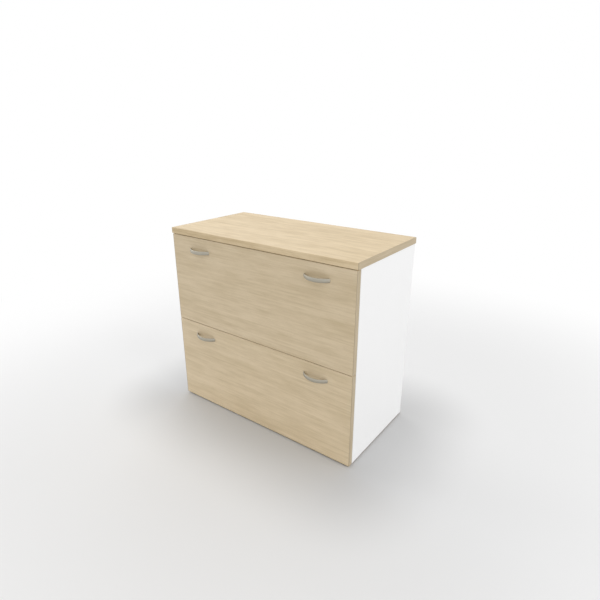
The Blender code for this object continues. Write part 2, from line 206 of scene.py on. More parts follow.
class Graph:
    """A node tree that is built from Python expressions."""

    def __init__(self, tree: bpy.types.NodeTree) -> None:
        """Empties a material's or a world's node tree and takes it over."""
        self.tree = tree
        tree.nodes.clear()

    def node(self, kind: str, sockets: dict, **settings: object) -> bpy.types.Node:
        """Adds a node: first its settings, then the values or links of its sockets.

        Args:
            kind: the node's type.
            sockets: its inputs by name or number, each a value or a signal.
            settings: its properties by name.

        Returns:
            The node.
        """
        made = self.tree.nodes.new(kind)
        for name, value in settings.items():
            setattr(made, name, value)
        for key, value in sockets.items():
            if isinstance(value, Signal):
                self.tree.links.new(value.socket, made.inputs[key])
            else:
                made.inputs[key].default_value = value
        return made

    def signal(self, kind: str, sockets: dict, output: int | str = 0, **settings: object) -> Signal:
        """Adds a node and gives one of its outputs, by the output's name or number."""
        return Signal(self, self.node(kind, sockets, **settings).outputs[output])

    def math(self, operation: str, *values: Signal | float) -> Signal:
        """A Math node on one to three values."""
        return self.signal("ShaderNodeMath", dict(enumerate(values)), operation=operation)

    def vector_math(self, operation: str, *values: Input, output: int | str = 0) -> Signal:
        """A Vector Math node on one or two vectors."""
        sockets = dict(enumerate(values))
        return self.signal("ShaderNodeVectorMath", sockets, output, operation=operation)

    def mix(self, factor: Signal | float, first: Input, second: Input) -> Signal:
        """Mixes two colours.

        Args:
            factor: 0 for the first, 1 for the second.
            first: a signal or a red, green and blue triple.
            second: the same.

        Returns:
            The mixed colour.
        """
        pair = [value if isinstance(value, Signal) else (*value, 1.0) for value in (first, second)]
        sockets = {0: factor, 6: pair[0], 7: pair[1]}
        return self.signal("ShaderNodeMix", sockets, 2, data_type="RGBA")

    def place(self, shift: Triple = (0.0, 0.0, 0.0)) -> Signal:
        """Object coordinates, moved by a shift in metres so that patterns differ."""
        coordinates = self.signal("ShaderNodeTexCoord", {}, "Object")
        return self.signal("ShaderNodeMapping", {"Vector": coordinates, "Location": shift})

    def noise(
        self, place: Signal, pitch: Triple, detail: float = 2.0, roughness: float = 0.5
    ) -> Signal:
        """Noise round 0.5 whose features have a given size along each axis.

        Args:
            place: the coordinates it reads.
            pitch: the rough size of a feature along X, Y and Z, in metres.
            detail: how many finer layers it has.
            roughness: how strong they are.

        Returns:
            The noise as a number.
        """
        stretched = self.vector_math("MULTIPLY", place, [1.0 / size for size in pitch])
        sockets = {"Vector": stretched, "Scale": 1.0, "Detail": detail, "Roughness": roughness}
        return self.signal("ShaderNodeTexNoise", sockets)

    def bump(self, height: Signal, distance: float) -> Signal:
        """A normal that a height bends, a height of 1 measuring this distance in metres."""
        sockets = {"Height": height, "Distance": distance, "Strength": 1.0}
        return self.signal("ShaderNodeBump", sockets)

    def surface(self, sockets: dict) -> None:
        """Ends a material in a Principled shader with these sockets."""
        shader = self.signal("ShaderNodeBsdfPrincipled", sockets)
        self.node("ShaderNodeOutputMaterial", {"Surface": shader})


def new_graph(name: str) -> tuple[Material, Graph]:
    """A new material and the graph of its nodes.

    Args:
        name: the material's name.

    Returns:
        The material and its empty graph.
    """
    material = bpy.data.materials.new(name)
    material.use_nodes = True
    return material, Graph(material.node_tree)


def tinted(colour: Triple, factors: Triple) -> Triple:
    """A colour with each channel multiplied by a factor."""
    return tuple(channel * factor for channel, factor in zip(colour, factors))


# Finishes


@dataclass(frozen=True)
class Marks:
    """One kind of mark in the oak's figure: its size, how much of it shows, and its noise."""

    length: float
    width: float
    share: float
    detail: float = 2.0
    roughness: float = 0.5


@dataclass(frozen=True)
class OakDecor:
    """Light oak decor with a satin coat: soft bands, streaks, blotches and pores along its grain."""

    name: str
    grain: Axis
    base: Triple = (0.691, 0.564, 0.381)
    tone: float = 1.0
    shift: Triple = (0.0, 0.0, 0.0)
    light: Triple = (1.10, 1.11, 1.14)
    dark: Triple = (0.88, 0.86, 0.80)
    pore: Triple = (0.68, 0.62, 0.54)
    roughness: float = 0.46
    bands: Marks = Marks(0.70, 0.060, 0.75)
    blotches: Marks = Marks(0.085, 0.016, 0.85, roughness=0.55)
    streaks: Marks = Marks(0.28, 0.0055, 0.95, roughness=0.6)
    fibres: Marks = Marks(0.050, 0.0014, 0.5)
    pores: Marks = Marks(0.012, 0.0006, 0.25, detail=1.0)
    middle: float = 1.025
    pore_range: Pair = (0.60, 0.74)
    pore_roughness: float = 0.10
    streak_roughness: float = 0.06
    fibre_relief: float = 0.6
    pore_relief: float = 0.5
    depth: float = 0.00006

    def noise(self, graph: Graph, place: Signal, marks: Marks) -> Signal:
        """The noise of one kind of mark, drawn out along the grain."""
        pitch = self.grain.drawn_out(marks.length, marks.width)
        return graph.noise(place, pitch, marks.detail, marks.roughness)

    def make(self) -> Material:
        """Makes the finish.

        Returns:
            The material.
        """
        material, graph = new_graph(self.name)
        place = graph.place(self.shift)
        kinds = (self.bands, self.blotches, self.streaks, self.fibres)
        bands, blotches, streaks, fibres = (self.noise(graph, place, marks) for marks in kinds)
        soft = self.bands.share * bands + self.blotches.share * blotches
        figure = soft + self.streaks.share * streaks + self.fibres.share * fibres
        pores = self.noise(graph, place, self.pores).over(*self.pore_range)
        base = tinted(self.base, (self.tone,) * 3)
        tone = (figure - self.middle).over(0.0, 1.0)
        wood = graph.mix(tone, tinted(base, self.dark), tinted(base, self.light))
        roughness = self.roughness + self.pore_roughness * pores
        relief = self.fibre_relief * fibres - self.pore_relief * pores + 0.5
        graph.surface(
            {
                "Base Color": graph.mix(self.pores.share * pores, wood, tinted(base, self.pore)),
                "Roughness": roughness + self.streak_roughness * (streaks - 0.5),
                "Normal": graph.bump(relief, self.depth),
                "IOR": 1.47,
            }
        )
        return material


@dataclass(frozen=True)
class RawBoard:
    """Unlaminated board, as a cut edge or a bare face shows it: pressed flakes with small hollows."""

    flake: Triple = (0.58, 0.43, 0.26)
    dark: Triple = (0.36, 0.24, 0.13)
    size: float = 0.0022
    grit_relief: float = 0.6
    flake_relief: float = 0.5
    dark_range: Pair = (0.45, 0.85)

    def colour_and_height(self, graph: Graph, place: Signal) -> tuple[Signal, Signal]:
        """The board's colour, and its height from 0 to 1.

        Args:
            graph: the material's graph.
            place: the coordinates.

        Returns:
            The colour and the height.
        """
        sockets = {"Vector": place, "Scale": 1.0 / self.size}
        flakes = graph.signal("ShaderNodeTexVoronoi", sockets, "Distance")
        grit = graph.noise(place, (self.size,) * 3, detail=3.0, roughness=0.7)
        height = self.grit_relief * grit + self.flake_relief * (1.0 - flakes)
        return graph.mix(height.over(*self.dark_range), self.dark, self.flake), height


CHIPBOARD = RawBoard()
HARDBOARD = RawBoard((0.40, 0.27, 0.155), (0.31, 0.20, 0.11), 0.0007)


@dataclass(frozen=True)
class WhiteMelamine:
    """White melamine with a fine pearl in it, on board that is raw where its faces look one way."""

    name: str
    base: Triple
    raw: Facing = Facing.DOWN
    roughness: float = 0.38
    core: RawBoard = CHIPBOARD
    cloud_size: float = 0.09
    cloud_shade: float = 0.985
    cloud_roughness: float = 0.04
    pearl_size: float = 0.0009
    pearl_roughness: float = 0.05
    raw_roughness: float = 0.45
    raw_relief: float = 6.0
    depth: float = 0.00002

    def make(self) -> Material:
        """Makes the finish.

        Returns:
            The material.
        """
        material, graph = new_graph(self.name)
        place = graph.place()
        cloud = graph.noise(place, (self.cloud_size,) * 3)
        pearl = graph.noise(place, (self.pearl_size,) * 3)
        white = graph.mix(cloud, tinted(self.base, (self.cloud_shade,) * 3), self.base)
        sheen = self.roughness + self.pearl_roughness * (pearl - 0.5)
        normal = graph.signal("ShaderNodeNewGeometry", {}, "Normal")
        bare = graph.vector_math("DOT_PRODUCT", normal, self.raw.value, output="Value") > SQUARE_ON
        raw_colour, raw_height = self.core.colour_and_height(graph, place)
        height = pearl + self.raw_relief * bare * (raw_height - 0.5)
        graph.surface(
            {
                "Base Color": graph.mix(bare, white, raw_colour),
                "Roughness": sheen + self.cloud_roughness * (cloud - 0.5) + self.raw_roughness * bare,
                "Normal": graph.bump(height, self.depth),
                "IOR": 1.48,
            }
        )
        return material


@dataclass(frozen=True)
class StreakedMetal:
    """Metal with fine streaks along one axis, from brushing, rolling or drawing, and a slow mottle."""

    name: str
    base: Triple
    roughness: float
    streaks: Axis
    mottle: Triple = (0.94, 0.95, 0.97)
    streak_length: float = 0.03
    streak_width: float = 0.0003
    streak_roughness: float = 0.16
    cloud_size: float = 0.012
    cloud_roughness: float = 0.06
    tone_range: Pair = (0.3, 0.7)
    depth: float = 0.000004

    def make(self) -> Material:
        """Makes the finish.

        Returns:
            The material.
        """
        material, graph = new_graph(self.name)
        place = graph.place()
        pitch = self.streaks.drawn_out(self.streak_length, self.streak_width)
        streaks = graph.noise(place, pitch, detail=3.0, roughness=0.6)
        cloud = graph.noise(place, (self.cloud_size,) * 3)
        tone = (0.5 * streaks + 0.5 * cloud).over(*self.tone_range)
        roughness = self.roughness + self.streak_roughness * (streaks - 0.5)
        graph.surface(
            {
                "Base Color": graph.mix(tone, tinted(self.base, self.mottle), self.base),
                "Metallic": 1.0,
                "Roughness": roughness + self.cloud_roughness * (cloud - 0.5),
                "Normal": graph.bump(streaks, self.depth),
            }
        )
        return material


@dataclass(frozen=True)
class MouldedPlastic:
    """Moulded plastic with a fine spark-eroded grain."""

    name: str
    base: Triple
    roughness: float
    transmission: float = 0.0
    grain_size: float = 0.0005
    grain_roughness: float = 0.10
    cloud_size: float = 0.006
    cloud_shade: float = 0.93
    depth: float = 0.00002

    def make(self) -> Material:
        """Makes the finish.

        Returns:
            The material.
        """
        material, graph = new_graph(self.name)
        place = graph.place()
        grain = graph.noise(place, (self.grain_size,) * 3)
        cloud = graph.noise(place, (self.cloud_size,) * 3, detail=1.0)
        shade = tinted(self.base, (self.cloud_shade,) * 3)
        graph.surface(
            {
                "Base Color": graph.mix(cloud, shade, self.base),
                "Roughness": self.roughness + self.grain_roughness * (grain - 0.5),
                "Normal": graph.bump(grain, self.depth),
                "Transmission Weight": self.transmission,
            }
        )
        return material


def made(finish: OakDecor | WhiteMelamine | StreakedMetal | MouldedPlastic) -> Material:
    """A field for the material that a finish makes."""
    return field(default_factory=finish.make)


@dataclass(frozen=True)
class Finishes:
    """Every finish of the cabinet, made once."""

    top_oak: Material = made(
        OakDecor(
            "oak_top",
            Axis.X,
            base=(0.690, 0.548, 0.342),
            shift=(0.37, 0.11, 0.0),
            light=(1.14, 1.15, 1.19),
            dark=(0.83, 0.79, 0.70),
        )
    )
    # The top's end bands are darker than its faces: partly the band's own tone, partly painted shade on
    # the side-facing edges
    top_end_oak: Material = made(OakDecor("oak_top_ends", Axis.Y, tone=0.71, shift=(0.0, 0.4, 0.2)))
    upper_oak: Material = made(OakDecor("oak_upper_front", Axis.X, tone=0.985, shift=(1.3, 0.0, 0.42)))
    lower_oak: Material = made(OakDecor("oak_lower_front", Axis.X, tone=1.02, shift=(2.9, 0.0, 1.13)))
    # The fronts' end bands are darker as well: partly band tone, partly painted shade on the side-facing
    # edges
    front_end_oak: Material = made(OakDecor("oak_front_ends", Axis.Z, tone=0.67, shift=(0.3, 0.7, 0.0)))
    panel_white: Material = made(WhiteMelamine("white_panel", (0.864,) * 3))
    flat_white: Material = made(WhiteMelamine("white_flat_board", (0.864,) * 3, Facing.BACK))
    hardboard: Material = made(
        WhiteMelamine("white_hardboard", (0.86,) * 3, roughness=0.42, core=HARDBOARD)
    )
    box_white: Material = made(WhiteMelamine("white_box", (0.86,) * 3, roughness=0.42))
    back_white: Material = made(WhiteMelamine("white_back", (0.84,) * 3, roughness=0.5))
    satin_nickel: Material = made(StreakedMetal("satin_nickel", (0.455, 0.427, 0.360), 0.54, Axis.X))
    zinc: Material = made(
        StreakedMetal("zinc_plate", (0.60, 0.61, 0.62), 0.36, Axis.Y, mottle=(0.88, 0.90, 0.95))
    )
    aluminium: Material = made(StreakedMetal("mill_aluminium", (0.70, 0.71, 0.72), 0.38, Axis.Y))
    clear_pad: Material = made(MouldedPlastic("clear_pad", (0.80, 0.80, 0.78), 0.22, transmission=0.5))
    grey_plastic: Material = made(MouldedPlastic("grey_plastic", (0.20,) * 3, 0.5))


# Modelling


def linked(name: str, data: bpy.types.ID) -> bpy.types.Object:
    """A new object with this data, linked to the scene.

    Args:
        name: the object's name.
        data: its mesh, lamp or camera.

    Returns:
        The object.
    """
    thing = bpy.data.objects.new(name, data)
    bpy.context.scene.collection.objects.link(thing)
    return thing


def x_under(facing: Facing, low: Vector, high: Vector, depth: float = 0.0) -> float:
    """A place on X, this deep under the left or the right face of a box."""
    return high.x - depth if facing is Facing.RIGHT else low.x + depth


def middles(low: float, high: float, count: int) -> list[float]:
    """The middles of the equal parts that a length is cut into."""
    pitch = (high - low) / count
    return [low + pitch * (i + 0.5) for i in range(count)]


class Piece:
    """A mesh under the tools: started, shaped in edit mode, finished, and hung on its body."""

    def __init__(self, thing: bpy.types.Object, name: str) -> None:
        """Takes over a Blender object.

        Args:
            thing: the object.
            name: its new name, which its mesh gets too.
        """
        self.thing = thing
        thing.name = name
        thing.data.name = name

    @staticmethod
    def clear_selection() -> None:
        """Leaves nothing selected."""
        for other in list(bpy.context.selected_objects):
            other.select_set(False)

    @classmethod
    def block(cls, name: str, low: Vector, high: Vector) -> Piece:
        """Starts a piece from a cube.

        Args:
            name: the piece's name.
            low: its lowest corner.
            high: its highest corner.

        Returns:
            The block, its place in its mesh.
        """
        cls.clear_selection()
        bpy.ops.mesh.primitive_cube_add(size=1.0, location=(low + high) / 2, scale=high - low)
        return cls(bpy.context.active_object, name).settle()

    @classmethod
    def cylinder(cls, name: str, radius: float, low: float, high: float, sides: int) -> Piece:
        """Starts a piece from a cylinder round Z.

        Args:
            name: the piece's name.
            radius: its radius.
            low: the height of its lower end.
            high: the height of its upper end.
            sides: how many sides it has.

        Returns:
            The cylinder, its place in its mesh.
        """
        cls.clear_selection()
        bpy.ops.mesh.primitive_cylinder_add(
            vertices=sides, radius=radius, depth=high - low, location=(0, 0, (low + high) / 2)
        )
        return cls(bpy.context.active_object, name).settle()

    @classmethod
    def ball(cls, name: str, radius: float, cuts: int = 4) -> Piece:
        """A ball round the origin, from a cube whose faces are cut up and pushed out to a sphere.

        Args:
            name: the piece's name.
            radius: its radius.
            cuts: how many times each edge of the cube is cut.

        Returns:
            The ball, shaded smooth.
        """
        corner = Vector((radius, radius, radius))
        made = cls.block(name, -corner, corner)
        with made.editing(Pick.FACE):
            bpy.ops.mesh.select_all(action="SELECT")
            bpy.ops.mesh.subdivide(number_cuts=cuts)
            bpy.ops.transform.tosphere(value=1.0)
        made.thing.scale *= radius / made.thing.data.vertices[0].co.length
        made.settle()
        bpy.ops.object.shade_smooth()
        return made

    @classmethod
    def from_node(cls, node: str, name: str) -> Piece:
        """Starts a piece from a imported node's solid, its loose triangles welded.

        Args:
            node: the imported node's name.
            name: the piece's name.

        Returns:
            The welded copy.
        """
        source = bpy.data.objects[node]
        made = cls(linked(name, source.data.copy()), name)
        with made.editing(Pick.FACE):
            bpy.ops.mesh.select_all(action="SELECT")
            bpy.ops.mesh.remove_doubles(threshold=WELD)
        return made

    def select_only(self) -> None:
        """Selects this piece alone and makes it the active one."""
        self.clear_selection()
        self.thing.select_set(True)
        bpy.context.view_layer.objects.active = self.thing

    def settle(self) -> Piece:
        """Puts the piece's place and scale into its mesh.

        Returns:
            This piece.
        """
        self.select_only()
        bpy.ops.object.transform_apply(location=True, rotation=True, scale=True)
        return self

    @contextmanager
    def editing(self, kind: Pick) -> Iterator[None]:
        """Edit mode on this piece alone, with nothing picked.

        Args:
            kind: what is picked in it.

        Yields:
            Nothing; the operators act on the piece.
        """
        self.select_only()
        bpy.ops.object.mode_set(mode="EDIT")
        bpy.ops.mesh.select_mode(type=kind.value)
        bpy.ops.mesh.select_all(action="DESELECT")
        yield
        bpy.ops.object.mode_set(mode="OBJECT")

    def pick(self, kind: Pick, test: Test) -> None:
        """Picks the edges or the faces that pass a test, in edit mode.

        Args:
            kind: whether edges or faces are tested.
            test: says of an edge or a face whether it is picked.
        """
        mesh = bmesh.from_edit_mesh(self.thing.data)
        for part in mesh.edges if kind is Pick.EDGE else mesh.faces:
            part.select_set(test(part))
        bmesh.update_edit_mesh(self.thing.data)

    def modify(self, kind: str, **settings: object) -> Piece:
        """Adds a modifier and applies it.

        Args:
            kind: the modifier's type.
            settings: its properties.

        Returns:
            This piece.
        """
        self.select_only()
        modifier = self.thing.modifiers.new(kind.lower(), kind)
        for name, value in settings.items():
            setattr(modifier, name, value)
        bpy.ops.object.modifier_apply(modifier=modifier.name)
        return self

    def cut(self, cutter: Piece) -> Piece:
        """Cuts another piece's shape out of this one.

        Args:
            cutter: the other piece, which is removed.

        Returns:
            This piece.
        """
        self.modify("BOOLEAN", object=cutter.thing, operation="DIFFERENCE", solver="EXACT")
        bpy.data.objects.remove(cutter.thing)
        return self

    def smooth(self, degrees: float = 35.0) -> Piece:
        """Shades gentle edges smooth and keeps flat faces flat.

        Args:
            degrees: edges sharper than this stay sharp.

        Returns:
            This piece.
        """
        self.select_only()
        bpy.ops.object.shade_smooth_by_angle(angle=math.radians(degrees))
        return self.modify("WEIGHTED_NORMAL", keep_sharp=True)

    def paint(self, *materials: Material) -> Piece:
        """Gives the piece its materials.

        Args:
            materials: the materials; the first goes all over.

        Returns:
            This piece.
        """
        self.thing.data.materials.clear()
        for material in materials:
            self.thing.data.materials.append(material)
        return self

    def paint_where(self, index: int, test: Callable[[Vector], bool]) -> Piece:
        """Gives one of the piece's materials to some of its faces.

        Args:
            index: the material's place in the piece's list.
            test: says of a face's centre whether it gets it.

        Returns:
            This piece.
        """
        for polygon in self.thing.data.polygons:
            if test(polygon.center):
                polygon.material_index = index
        return self

    def copies(self, name: str, places: Sequence[Matrix]) -> Piece:
        """Copies the piece to each place, joins the copies, and removes the pattern.

        Args:
            name: the joined piece's name.
            places: where each copy goes, as a matrix.

        Returns:
            The copies as one piece.
        """
        made = []
        for place in places:
            mesh = self.thing.data.copy()
            mesh.transform(place)
            made.append(linked(name, mesh))
        self.clear_selection()
        for copy in made:
            copy.select_set(True)
        bpy.context.view_layer.objects.active = made[0]
        bpy.ops.object.join()
        bpy.data.objects.remove(self.thing)
        return Piece(made[0], name)

    def hang(self, body: str, slot: str, *nodes: str) -> None:
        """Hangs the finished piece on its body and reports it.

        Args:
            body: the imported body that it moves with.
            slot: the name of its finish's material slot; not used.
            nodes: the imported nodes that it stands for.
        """
        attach(self.thing, body)
        if nodes:
            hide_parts(*nodes)
        log.info("%s: %d faces on %s", self.thing.name, len(self.thing.data.polygons), body)


def finish_node(node: str, material: Material) -> None:
    """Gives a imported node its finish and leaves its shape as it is.

    Args:
        node: the node's name.
        material: the finish.
    """
    for slot in bpy.data.objects[node].material_slots:
        slot.material = material
    log.info("%s: packed shape in %s", node, material.name)


def smooth_node(node: str, body: str, material: Material, slot: str) -> None:
    """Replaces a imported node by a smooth-shaded copy of its own shape, on its body and in a finish."""
    piece = Piece.from_node(node, f"{node}_smooth").smooth().paint(material)
    piece.hang(body, slot, node)


# Boards with edge bands


@dataclass
class BandedBoard:
    """A laminated board: a core with its faces, and a rounded band round its four edges."""

    node: str
    body: str
    thickness: Axis
    face: Material
    ends: Material
    band: float
    arris: float
    joint: float = 0.00015
    joint_steps: int = 2
    arris_steps: int = 4

    def build(self) -> None:
        """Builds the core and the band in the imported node's place."""
        self.build_core()
        self.build_band()

    def build_core(self) -> None:
        """Builds the core, inside the band, its faces eased where they meet it."""
        low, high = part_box(self.node)
        inset = Vector((self.band, self.band, self.band))
        inset[self.thickness.value] = 0.0
        core = Piece.block(f"{self.node}_core", low + inset, high - inset)
        with core.editing(Pick.EDGE):
            core.pick(Pick.EDGE, self.is_flat)
            bpy.ops.mesh.bevel(offset=self.joint, segments=self.joint_steps, affect="EDGES")
        core.smooth().paint(self.face).hang(self.body, "light_oak", self.node)

    def is_flat(self, edge: bmesh.types.BMEdge) -> bool:
        """Whether an edge lies along the board, and not through its thickness."""
        ends = [vert.co[self.thickness.value] for vert in edge.verts]
        return abs(ends[0] - ends[1]) < CLOSE

    def build_band(self) -> None:
        """Builds the band: a block with its middle taken out, and its outer edges rounded."""
        low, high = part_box(self.node)
        through = self.thickness.value
        band = Piece.block(f"{self.node}_edge_band", low, high)
        with band.editing(Pick.FACE):
            band.pick(Pick.FACE, lambda face: abs(face.normal[through]) > SQUARE_ON)
            bpy.ops.mesh.inset(thickness=self.band - self.joint, depth=0.0)
            bpy.ops.mesh.delete(type="FACE")
            bpy.ops.mesh.select_mode(type=Pick.EDGE.value)
            band.pick(Pick.EDGE, lambda edge: edge.is_boundary)
            bpy.ops.mesh.bridge_edge_loops()
            band.pick(Pick.EDGE, lambda edge: self.is_outer(edge, low, high))
            bpy.ops.mesh.bevel(offset=self.arris, segments=self.arris_steps, affect="EDGES")
        band.smooth()
        reach = high.x - self.band
        # The left and right ends get the darker end finish: partly band tone, partly painted shade
        band.paint(self.face, self.ends).paint_where(1, lambda centre: abs(centre.x) > reach)
        band.hang(self.body, "light_oak", self.node)

    def is_outer(self, edge: bmesh.types.BMEdge, low: Vector, high: Vector) -> bool:
        """Whether an edge lies on the board's outline.

        Args:
            edge: an edge of the band.
            low: the board's lowest corner.
            high: its highest corner.

        Returns:
            True if both its ends are on an outer corner of the board.
        """
        across = [i for i in range(3) if i != self.thickness.value]
        for vert in edge.verts:
            if any(min(vert.co[i] - low[i], high[i] - vert.co[i]) > CLOSE for i in across):
                return False
        return True


# Fasteners


@dataclass(frozen=True)
class Fastener:
    """The head of a screw or a cam, with a cross recess, modelled once and copied."""

    radius: float
    height: float
    rounding: float
    cross_width: float
    cross_reach: float
    cross_depth: float
    sunk: float = 0.0005
    sides: int = 28
    rounding_steps: int = 4

    def model(self) -> Piece:
        """Models the head, looking up, its seat at height 0.

        Returns:
            The head.
        """
        head = Piece.cylinder("head", self.radius, -self.sunk, self.height, self.sides)
        with head.editing(Pick.EDGE):
            head.pick(Pick.EDGE, self.is_rim)
            bpy.ops.mesh.bevel(offset=self.rounding, segments=self.rounding_steps, affect="EDGES")
        return head.cut(self.cross()).smooth()

    def is_rim(self, edge: bmesh.types.BMEdge) -> bool:
        """Whether an edge of the head is on its upper rim."""
        return all(vert.co.z > self.height - CLOSE for vert in edge.verts)

    def cross(self) -> Piece:
        """Models the recess's shape: a square bar with an arm drawn out of each side.

        Returns:
            The shape, to be cut out of the head.
        """
        half = self.cross_width / 2
        low = Vector((-half, -half, self.height - self.cross_depth))
        cutter = Piece.block("recess", low, Vector((half, half, self.height + self.cross_depth)))
        with cutter.editing(Pick.FACE):
            cutter.pick(Pick.FACE, lambda face: abs(face.normal.z) < SQUARE_ON)
            arm = {"value": self.cross_reach - half}
            bpy.ops.mesh.extrude_faces_move(TRANSFORM_OT_shrink_fatten=arm)
        return cutter

    def drive(
        self, name: str, points: Sequence[Vector], facing: Facing, body: str, material: Material
    ) -> None:
        """Puts a head at each point.

        Args:
            name: the group's name.
            points: where the heads are seated.
            facing: the way the heads look.
            body: the body that they hold on to.
            material: their finish.
        """
        places = [Matrix.Translation(point) @ facing.turn for point in points]
        group = self.model().copies(name, places)
        group.paint(material).hang(body, "runner_steel")


# Radius, height, rounding, the cross's width, reach and depth, and how far the head is sunk
PAN_SCREW = Fastener(0.0036, 0.0019, 0.0013, 0.0009, 0.0019, 0.0013)
TRUSS_SCREW = Fastener(0.0045, 0.0022, 0.0016, 0.0010, 0.0022, 0.0015)
FLUSH_SCREW = Fastener(0.0036, 0.00025, 0.0002, 0.0009, 0.0021, 0.0016, 0.002)
RUNNER_SCREW = Fastener(0.0021, 0.0, 0.0002, 0.0007, 0.0014, 0.0008, 0.0010)
CAM = Fastener(0.0075, 0.00025, 0.0002, 0.0018, 0.0048, 0.0022, 0.003)


# Sub-assemblies


@dataclass
class Carcass:
    """The fixed part: top, sides, bottom, back, rails and glides, and what joins them."""

    finishes: Finishes
    body: str = "carcass"
    top_band: float = 0.003
    top_arris: float = 0.0025
    cam_inset: float = 0.034
    cam_row: float = 0.022
    bottom_cams_inset: float = 0.06
    top_screws: Pair = (-0.200, 0.200)
    back_screws: Triple = (-0.300, 0.0, 0.300)
    flat_boards: tuple[str, ...] = ("bottom_panel", "top_rail_front", "top_rail_back")

    def build(self) -> None:
        """Builds and dresses the carcass."""
        self.build_top()
        for side in Side:
            finish_node(f"side_panel_{side.word}", self.finishes.panel_white)
        for node in self.flat_boards:
            finish_node(node, self.finishes.flat_white)
        finish_node("back_panel", self.finishes.back_white)
        for place in ("front", "back"):
            for side in Side:
                glide = f"glide_{place}_{side.word}"
                smooth_node(glide, self.body, self.finishes.grey_plastic, "glide_plastic")
        self.join_rails()
        self.join_bottom()
        self.screw_back()

    def build_top(self) -> None:
        """Builds the oak top with its edge bands."""
        looks = (self.finishes.top_oak, self.finishes.top_end_oak)
        BandedBoard("top_panel", self.body, Axis.Z, *looks, self.top_band, self.top_arris).build()

    def join_rails(self) -> None:
        """Puts the cams and the top's screws in the rails' undersides."""
        for place in ("front", "back"):
            low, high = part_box(f"top_rail_{place}")
            middle = (low.y + high.y) / 2
            cams = self.cam_points(low, high, middle, low.z)
            CAM.drive(f"rail_cams_{place}", cams, Facing.DOWN, self.body, self.finishes.zinc)
            screws = [Vector((x, middle, low.z)) for x in self.top_screws]
            PAN_SCREW.drive(f"top_screws_{place}", screws, Facing.DOWN, self.body, self.finishes.zinc)

    def join_bottom(self) -> None:
        """Puts the cams in the bottom panel's upper face."""
        low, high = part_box("bottom_panel")
        rows = {"front": low.y + self.bottom_cams_inset, "back": high.y - self.bottom_cams_inset}
        for place, y in rows.items():
            cams = self.cam_points(low, high, y, high.z)
            CAM.drive(f"bottom_cams_{place}", cams, Facing.UP, self.body, self.finishes.zinc)

    def cam_points(self, low: Vector, high: Vector, y: float, z: float) -> list[Vector]:
        """The centres of a board's cams: two at each of its ends, before and behind y, at height z."""
        ends = (low.x + self.cam_inset, high.x - self.cam_inset)
        return [Vector((x, y + step, z)) for x in ends for step in (-self.cam_row, self.cam_row)]

    def screw_back(self) -> None:
        """Puts the screws that hold the back panel to the bottom panel and the back rail."""
        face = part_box("back_panel")[1].y
        for place, node in {"lower": "bottom_panel", "upper": "top_rail_back"}.items():
            low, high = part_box(node)
            z = (low.z + high.z) / 2
            points = [Vector((x, face, z)) for x in self.back_screws]
            FLUSH_SCREW.drive(f"back_screws_{place}", points, Facing.BACK, self.body, self.finishes.zinc)


@dataclass
class BowHandle:
    """A bow handle: an oval section spun round the bow's centre and cut flat at the drawer front."""

    node: str
    body: str
    material: Material
    thickness: float = 0.006
    section_sides: int = 24
    steps: int = 48
    foot_rounding: float = 0.0004
    foot_steps: int = 2
    soft_angle: float = 50.0

    def build(self) -> None:
        """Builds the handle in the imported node's place."""
        low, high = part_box(self.node)
        middle = (low + high) / 2
        reach = (high.x - low.x) / 2
        outer_rise = high.y - low.y
        outer_radius = (reach**2 + outer_rise**2) / (2 * outer_rise)
        radius = outer_radius - self.thickness / 2
        centre = Vector((middle.x, low.y + outer_radius, middle.z))
        half_turn = math.asin(reach / outer_radius) + self.thickness / radius
        start = centre + Vector((-radius * math.sin(half_turn), -radius * math.cos(half_turn), 0.0))
        Piece.clear_selection()
        bpy.ops.mesh.primitive_circle_add(
            vertices=self.section_sides,
            radius=self.thickness / 2,
            location=start,
            rotation=(math.pi / 2, 0.0, math.pi / 2 - half_turn),
        )
        bow = Piece(bpy.context.active_object, f"{self.node}_bow").settle()
        with bow.editing(Pick.EDGE):
            bpy.ops.mesh.select_all(action="SELECT")
            tall = (high.z - low.z) / self.thickness
            bpy.ops.transform.resize(value=(1.0, 1.0, tall), center_override=start)
            bpy.ops.mesh.spin(steps=self.steps, angle=-2 * half_turn, center=centre, axis=(0, 0, 1))
            bpy.ops.mesh.select_all(action="SELECT")
            bpy.ops.mesh.bisect(
                plane_co=(0.0, high.y, 0.0), plane_no=(0.0, 1.0, 0.0), use_fill=True, clear_outer=True
            )
            bow.pick(Pick.EDGE, lambda edge: all(vert.co.y > high.y - CLOSE for vert in edge.verts))
            bpy.ops.mesh.bevel(offset=self.foot_rounding, segments=self.foot_steps, affect="EDGES")
            bpy.ops.mesh.select_all(action="SELECT")
            bpy.ops.mesh.normals_make_consistent(inside=False)
        bow.smooth(self.soft_angle).paint(self.material).hang(self.body, "handle_metal", self.node)


